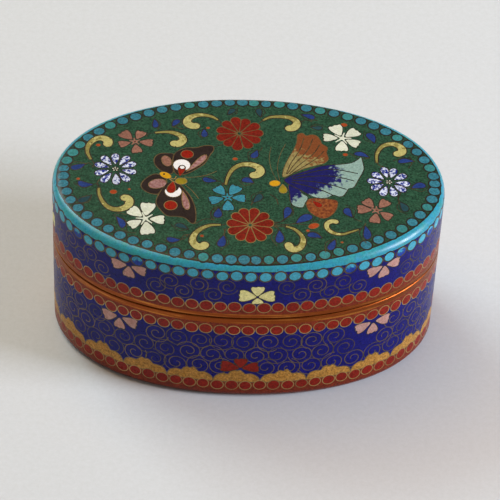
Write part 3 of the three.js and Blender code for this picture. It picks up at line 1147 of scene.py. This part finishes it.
class Wall:
    """Unrolled sheet of a wall, from a low to a high level, starting at the back."""

    def __init__(self, start, low, high, spacing=1.2):
        self.start = start
        self.low = low
        self.high = high
        self.length = GIRTH / STRIP_ROWS
        self.columns = round(self.length / spacing)
        self.rows = max(round((high - low) / spacing), 1)
        self.inlay = Inlay("cobalt")
        self.inlay.limits = (start, start + GIRTH)
        for row in range(STRIP_ROWS + 1):
            self.inlay.border(self.upright(start + self.length * row), closed=False)

    def upright(self, arc):
        """Points up the sheet at one place."""
        step = (self.high - self.low) / self.rows
        return [Vector((arc, self.low + step * row)) for row in range(self.rows + 1)]

    def band(self, low, high, paint, tone=EVEN_TONE):
        """Plain band of one enamel all the way round."""
        end = self.start + GIRTH
        corners = [(self.start, low), (end, low), (end, high), (self.start, high)]
        self.inlay.cell(corners, paint, tone)

    def line(self, z, width, shine):
        """Wire all the way round."""
        steps = 4 * self.columns
        points = [Vector((self.start + GIRTH * step / steps, z)) for step in range(steps + 1)]
        self.inlay.wire(points, width, shine)

    def place(self, point, middle):
        """Texture place: the four quarters of the sheet lie one above the other."""
        row = min(int((middle.x - self.start) / self.length), STRIP_ROWS - 1)
        across = (point.x - self.start) / self.length - row
        up = (point.y - self.low) / (self.high - self.low)
        across = END_MARGIN + (1 - 2 * END_MARGIN) * across
        up = SIDE_MARGIN + (1 - 2 * SIDE_MARGIN) * up
        return across, (row + up) / STRIP_ROWS

    def build(self, name):
        """Makes the sheet's two meshes, with loose points that let it follow the wall."""
        loose = []
        for row in range(STRIP_ROWS):
            for column in range(1, self.columns):
                arc = self.start + self.length * (row + column / self.columns)
                loose.extend(self.upright(arc))
        return self.inlay.build(name, on_wall, self.place, loose)


BEAD_SHIFT = (0.1, 0.12)


def bead_row(inlay, start, z, count, paints, radius, shine, wire, axis=None):
    """Touching beads round the whole box."""
    pitch = GIRTH / count
    for index in range(count):
        centre = Vector((start + (index + 0.5) * pitch, z)) + wobble(BEAD_SHIFT)
        bead(inlay, centre, radius, chance.choice(paints), varied(shine, 0.25), wire, axis)


CLOUD_WIRE = 0.19
CLOUD_SHIFT = (0.3, 0.2)
CLOUD_CLEARANCE = 0.75  # share of its radius that a spiral stays away from a gap


def cloud_rows(inlay, start, rows, count, radius, shine, gaps):
    """Staggered rows of spirals that leave gaps, given as places and reaches, free."""
    pitch = GIRTH / count
    for row, z in enumerate(rows):
        for index in range(count):
            shift = 0.25 + 0.5 * (row % 2)
            centre = Vector((start + (index + shift) * pitch, z)) + wobble(CLOUD_SHIFT)
            near = radius * CLOUD_CLEARANCE
            if any((centre - Vector(place)).length < reach + near for place, reach in gaps):
                continue
            hand = chance.choice((-1, 1))
            turn = chance.uniform(0, 360)
            reach = varied(radius, 0.05)
            glow = varied(shine, 0.3)
            spiral(inlay, centre, reach, hand, turn, CLOUD_WIRE, glow)
            for step in (-1, 1):  # a spiral across the seam at the back goes on at the other end
                again = centre + Vector((step * GIRTH, 0))
                if start - reach < again.x < start + GIRTH + reach:
                    spiral(inlay, again, reach, hand, turn, CLOUD_WIRE, glow)


FLOWER_PITCH = GIRTH / 8
FLOWER_PLACES = range(-3, 4)  # counted from the front; the place at the back stays empty


def flower_gaps(x, even, odd):
    """Gaps in the clouds round a wall's flowers: height and reach at even and at odd places."""
    gaps = []
    for index in FLOWER_PLACES:
        z, reach = odd if index % 2 else even
        gaps.append(((x + index * FLOWER_PITCH, z), reach))
    return gaps


def side_flowers(inlay, x, z, even, odd, shift=0.0):
    """Flowers round a wall, of one kind at even and another at odd places, which can be shifted.
    A kind is a paint, and petals given by where they start and end and how wide they are."""
    for index in FLOWER_PLACES:
        middle = Vector((x + index * FLOWER_PITCH, z))
        paint, petals = even
        if index % 2:
            middle.x += shift * (1 if index > 0 else 0.6)
            paint, petals = odd
        for start, end, width in petals:
            petal(inlay, middle + Vector(start), middle + Vector(end), paint, width, SIDE_PETAL_SHINE)


BAND_TOP_V = WALL_TOP_Z + SHOULDER_RADIUS * math.acos(1 - SHEET_INSET / SHOULDER_RADIUS)
LID_START = -GIRTH / 2 + 0.3
LID_BEADS = 73
LID_RED_Z = 26.0
LID_BEAD_Z = 34.65
BAND_LOW_Z = 35.85

# Flowers of the lid's wall: paint, then start, end and width of each petal
CREAM_FLOWER = ("cream", [
    ((-0.3, 0.2), (-3.8, 0.5), 1.25), ((0, 0.4), (0, 3.1), 1.4),
    ((0.3, 0.2), (3.6, 0.4), 1.25), ((0, -0.2), (0.1, -1.9), 1.9)])
PINK_FLOWER = ("pink_pale", [
    ((-0.6, 3.8), (-3.9, 2.9), 1.05), ((0, 3.6), (0, 0.6), 1.2), ((0.6, 3.8), (3.8, 3.3), 1.05)])


def draw_lid_side():
    """Lid wall and shoulder: red and turquoise beads, clouds on blue, and the plain band."""
    wall = Wall(LID_START, LID_BODY_Z, BAND_TOP_V, spacing=1.1)
    inlay = wall.inlay
    wall.band(LID_BODY_Z, LID_RED_Z, "red_field")
    wall.band(BAND_LOW_Z, BAND_TOP_V, "turquoise_band")
    wall.line(BAND_LOW_Z, width=0.16, shine=0.05)
    gaps = flower_gaps(1.8, even=(29.2, 1.9), odd=(32, 2.2))
    cloud_rows(inlay, LID_START, (31.5, 29.3), count=36, radius=2.2, shine=0.22, gaps=gaps)
    side_flowers(inlay, 1.8, 28.9, CREAM_FLOWER, PINK_FLOWER)
    bead_row(inlay, LID_START, LID_BEAD_Z, LID_BEADS, ["bead_sky"] * 9 + ["bead_mixed"],
             radius=1.3, shine=0.16, wire=TURQUOISE_BEAD_WIRE, axis=(0, -1))
    bead_row(inlay, LID_START, LID_RED_Z, LID_BEADS, ["red"],
             radius=1.34, shine=0.6, wire=RED_BEAD_WIRE)
    return wall.build("lid_side")


LAPPETS = 22
BASE_START = 3.2 - GIRTH / 2
BASE_BEADS = 73
BASE_RED_Z = 19.45
LAPPET_LOW_Z = 4.5
FOOT_BEAD_Z = 3.6
FOOT_V = FOOT_RADIUS * (1 - math.pi / 2)

# Half a lappet: share of its width, and height above its lower edge
LAPPET_SIDE = [(0.0, 0.3), (0.03, 1.2), (0.09, 1.95), (0.2, 2.35), (0.31, 2.3), (0.36, 2.9),
               (0.43, 3.5), (0.5, 3.2)]


def lappet(start, pitch):
    """One cusped leaf of the foot border: two shoulders and a notched peak."""
    right = [(1 - share, rise) for share, rise in reversed(LAPPET_SIDE[:-1])]
    corners = []
    for share, rise in LAPPET_SIDE + right:
        corners.append(Vector((start + share * pitch, LAPPET_LOW_Z + rise * varied(1, 0.05))))
    low = [Vector((start + pitch, LAPPET_LOW_Z)), Vector((start, LAPPET_LOW_Z))]
    return spline(corners, steps=3) + low


# Flowers of the base's wall: paint, then start, end and width of each petal
RED_FLOWER = ("red", [
    ((-0.4, 0.2), (-4.2, 0.7), 1.1), ((0, 0.3), (0, 3.0), 1.4), ((0.4, 0.2), (3.8, 0.6), 1.1)])
HANGING_FLOWER = ("pink_pale", [
    ((-0.7, 9), (-4, 7.9), 1.1), ((0, 8.6), (0, 5.7), 1.2), ((0.7, 9), (4, 8.2), 1.1)])


def draw_base():
    """Base wall: red beads, clouds on blue, the ochre lappet border and the red foot."""
    wall = Wall(BASE_START, FOOT_V, BASE_BODY_Z)
    inlay = wall.inlay
    wall.band(BASE_RED_Z, BASE_BODY_Z, "red_field")
    wall.band(FOOT_V, LAPPET_LOW_Z, "red_field", 0.45)
    gaps = flower_gaps(-0.8, even=(8.8, 1.3), odd=(16.4, 2.4))
    cloud_rows(inlay, BASE_START, (16.0, 12.3, 8.7), count=46, radius=2.6, shine=0.26, gaps=gaps)
    pitch = GIRTH / LAPPETS
    for index in range(LAPPETS):
        outline = lappet(BASE_START + index * pitch, pitch)
        inlay.cell(outline, "ochre", chance.uniform(*LEAF_TONES), 0.22, 0.4)
    side_flowers(inlay, -0.9, 8.4, RED_FLOWER, HANGING_FLOWER, shift=1.2)
    for z, shine in ((BASE_RED_Z, 0.7), (FOOT_BEAD_Z, 0.65)):
        bead_row(inlay, BASE_START, z, BASE_BEADS, ["red"], radius=1.3, shine=shine, wire=RED_BEAD_WIRE)
    return wall.build("base_side")


# ---- plain swept pieces
EDGE_BAND = 5.0  # within this distance of the outline, a swept profile runs parallel to it
SWEEP_COLUMNS = 288
SHARP_DEGREES = 35
SAME_VERTEX = 1e-7  # metres
BEVEL = 0.12


def swept_point(angle, inset):
    """Point of a ring; further in than the edge band, the rings shrink evenly to the middle."""
    point, _ = oval_point(angle, min(inset, EDGE_BAND))
    shrink = (HALF_WIDTH - inset) / (HALF_WIDTH - EDGE_BAND) if inset > EDGE_BAND else 1.0
    return point * shrink


def swept(name, profile, paint, closed=False):
    """Sweeps a profile of insets and heights round the oval. An open profile that ends in the
    middle of the box becomes a surface with a centre."""
    rings = []
    for inset, z in profile:
        ring = []
        for column in range(SWEEP_COLUMNS):
            point = swept_point(math.tau * column / SWEEP_COLUMNS, inset)
            ring.append(Vector((point.x, point.y, z)) * MM)
        rings.append(ring)
    vertices = [point for ring in rings for point in ring]
    faces = []
    spans = len(rings) if closed else len(rings) - 1
    for row in range(spans):
        low = row * SWEEP_COLUMNS
        high = (row + 1) % len(rings) * SWEEP_COLUMNS
        for column in range(SWEEP_COLUMNS):
            beside = (column + 1) % SWEEP_COLUMNS
            faces.append([low + column, low + beside, high + beside, high + column])
    mesh = bpy.data.meshes.new(name)
    mesh.from_pydata(vertices, [], faces)
    cleaned = bmesh.new()
    cleaned.from_mesh(mesh)
    bmesh.ops.remove_doubles(cleaned, verts=cleaned.verts, dist=SAME_VERTEX)
    cleaned.to_mesh(mesh)
    cleaned.free()
    mesh.materials.append(paint)
    mesh.shade_smooth()
    mesh.set_sharp_from_angle(angle=math.radians(SHARP_DEGREES))
    return add_object(name, mesh)


def rounded(start, corner, end, steps=6):
    """Quarter round from start to end, bulging towards the corner."""
    start, corner, end = Vector(start), Vector(corner), Vector(end)
    centre = start + end - corner
    points = []
    for step in range(steps + 1):
        turn = math.pi / 2 * step / steps
        points.append(centre + (start - centre) * math.cos(turn) + (end - centre) * math.sin(turn))
    return points


def flat_to_middle(inset, z, rise=0.0, steps=10):
    """Rings from an inset to the middle, along a low dome."""
    radius = HALF_WIDTH - inset
    points = []
    for step in range(1, steps + 1):
        share = 1 - step / steps
        points.append((HALF_WIDTH - radius * share, z + rise * (1 - share ** 2)))
    return points


def lid_rim_profile():
    """Flush copper band at the foot of the lid, as thick as the wall above it."""
    low, high = SEAM_Z, LID_BODY_Z
    return [
        (wall_inset(low) + WALL, low),
        (wall_inset(low) + BEVEL, low),
        (wall_inset(low), low + BEVEL),
        (wall_inset(high), high),
        (wall_inset(high) + WALL, high),
    ]


def base_rim_profile():
    """Flush copper band, the groove under the lid, and the lip that stands inside the lid."""
    depth, height = SEAM_GROOVE
    groove_z = SEAM_Z - height
    ledge = wall_inset(SEAM_Z)
    lip_outside = ledge + WALL + LIP_CLEARANCE
    lip_inside = lip_outside + LIP_THICKNESS
    return [
        (wall_inset(BASE_BODY_Z), BASE_BODY_Z),
        (wall_inset(groove_z), groove_z - BEVEL),
        (wall_inset(groove_z) + BEVEL, groove_z),
        (ledge + depth, groove_z),
        (ledge + depth, SEAM_Z),
        (lip_outside, SEAM_Z),
        (lip_outside, LIP_TOP_Z - BEVEL),
        (lip_outside + BEVEL, LIP_TOP_Z),
        (lip_inside - BEVEL, LIP_TOP_Z),
        (lip_inside, LIP_TOP_Z - BEVEL),
        (lip_inside, BASE_BODY_Z),
    ]


def lid_lining_profile():
    """Inside of the lid: wall, rounded corner and ceiling."""
    ceiling = SHOULDER_TOP_Z - WALL
    corner = WALL + INNER_CORNER_RADIUS
    wall = [(wall_inset(LID_BODY_Z) + WALL, LID_BODY_Z)]
    turn = rounded((WALL, ceiling - INNER_CORNER_RADIUS), (WALL, ceiling), (corner, ceiling))
    return wall + turn + flat_to_middle(corner, ceiling, DOME_RISE)


def base_lining_profile():
    """Inside of the base: wall, rounded corner and floor."""
    wall_foot = wall_inset(0) + WALL
    corner = wall_foot + INNER_CORNER_RADIUS
    wall = [(wall_inset(BASE_BODY_Z) + WALL, BASE_BODY_Z)]
    turn = rounded((wall_foot, WALL + INNER_CORNER_RADIUS), (wall_foot, WALL), (corner, WALL))
    return wall + turn + flat_to_middle(corner, WALL)


def underside_profile():
    """Flat bottom from the foot's rounding to the middle."""
    edge = wall_inset(FOOT_RADIUS) + FOOT_RADIUS
    return [(edge, 0.0)] + flat_to_middle(edge, 0.0)


# ---- the scene
FLOOR_SIZE = 6
FLOOR_ROUGHNESS = 0.9


def make_floor():
    """Plain pale table top."""
    bpy.ops.mesh.primitive_plane_add(size=FLOOR_SIZE)
    floor = bpy.context.object
    floor.name = "floor"
    nodes = Nodes("floor_paper")
    shade = nodes.remap(nodes.noise(0.9, 4.0, 0.8), 0.35, 0.65)
    paper = nodes.mix(shade, linear((204, 208, 209)), linear((210, 214, 216)))
    nodes.surface(Base_Color=paper, Roughness=FLOOR_ROUGHNESS)
    floor.data.materials.append(nodes.material)


# Camera: angles in degrees, and places in metres
CAMERA_ELEVATION = 43
CAMERA_AZIMUTH = 2.5
CAMERA_ROLL = -2.9
CAMERA_DISTANCE = 0.862
CAMERA_SUBJECT = Vector((0, 0, 0.016))
CAMERA_SHIFT = (0.001, 0.00126)  # right and up, without turning
CAMERA_LENS = 300  # millimetres, for a sensor as wide as the next value
CAMERA_SENSOR = 36


def make_camera():
    """Long lens that looks down on the lid from the front."""
    elevation = math.radians(CAMERA_ELEVATION)
    azimuth = math.radians(CAMERA_AZIMUTH)
    roll = math.radians(CAMERA_ROLL)
    right = Vector((math.cos(azimuth), -math.sin(azimuth), 0))
    ahead = Vector((math.sin(azimuth) * math.cos(elevation), math.cos(azimuth) * math.cos(elevation),
                    -math.sin(elevation)))
    up = right.cross(ahead)
    rolled_right = right * math.cos(roll) - up * math.sin(roll)
    rolled_up = right * math.sin(roll) + up * math.cos(roll)
    shift_right, shift_up = CAMERA_SHIFT
    place = CAMERA_SUBJECT - ahead * CAMERA_DISTANCE + rolled_right * shift_right + rolled_up * shift_up
    camera = bpy.data.cameras.new("camera")
    camera.lens = CAMERA_LENS
    camera.sensor_width = CAMERA_SENSOR
    holder = add_object("camera", camera)
    axes = (rolled_right, rolled_up, -ahead)
    matrix = [[axes[column][row] for column in range(3)] + [place[row]] for row in range(3)]
    holder.matrix_world = Matrix(matrix + [[0, 0, 0, 1]])
    bpy.context.scene.camera = holder


# Soft square lights, all aimed at the box: place, size, power and colour
LIGHT_AIM = Vector((0, 0, 0.02))
LIGHTS = {
    "window": ((0.71, -0.19, 0.425), 0.28, 7.1, (0.82, 0.86, 1.0)),
    "ceiling": ((-0.35, 0.3, 1.2), 1.0, 7.0, (1.0, 0.64, 0.3)),
    "back": ((-0.9, 0.9, 1.0), 0.8, 14.5, (0.70, 0.90, 1.0)),
}
WORLD_COLOUR = (1.0, 0.93, 0.85, 1)
WORLD_STRENGTH = 0.21


def make_lights():
    """Three area lights: a small one low on the right, and two large ones above."""
    for name, (place, size, power, colour) in LIGHTS.items():
        light = bpy.data.lights.new(name, "AREA")
        light.size = size
        light.energy = power
        light.color = colour
        holder = add_object(name, light)
        holder.location = place
        holder.rotation_euler = (LIGHT_AIM - Vector(place)).to_track_quat("-Z", "Y").to_euler()


def make_world():
    """Faint warm light from all round."""
    world = bpy.data.worlds.new("studio")
    world.use_nodes = True
    background = world.node_tree.nodes["Background"]
    background.inputs["Color"].default_value = WORLD_COLOUR
    background.inputs["Strength"].default_value = WORLD_STRENGTH
    bpy.context.scene.world = world


bpy.context.scene.view_settings.view_transform = "Standard"
make_camera()
make_world()
make_floor()
make_lights()

top_enamel, top_wires = draw_top()
lid_enamel, lid_wires = draw_lid_side()
base_enamel, base_wires = draw_base()
bare_copper = copper("copper_rim", (140, 66, 18), (240, 160, 70), 0.9, streaky=0.45)
lining_enamel = material("lining")
lid_rim = swept("lid_band", lid_rim_profile(), bare_copper, closed=True)
base_rim = swept("base_band", base_rim_profile(), bare_copper, closed=True)
lid_lining = swept("lid_lining", lid_lining_profile(), lining_enamel)
base_lining = swept("base_lining", base_lining_profile(), lining_enamel)
underside = swept("underside", underside_profile(), lining_enamel)

for slot_name, group in (
        ("enamel_lid", [top_enamel, top_wires, lid_enamel, lid_wires, lid_lining]),
        ("enamel_base", [base_enamel, base_wires, base_lining, underside]),
        ("copper_rim", [lid_rim, base_rim])):
    for piece in group:
        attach(piece, "root")
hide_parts("lid")
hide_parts("base")
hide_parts("lid_rim")
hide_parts("base_rim")
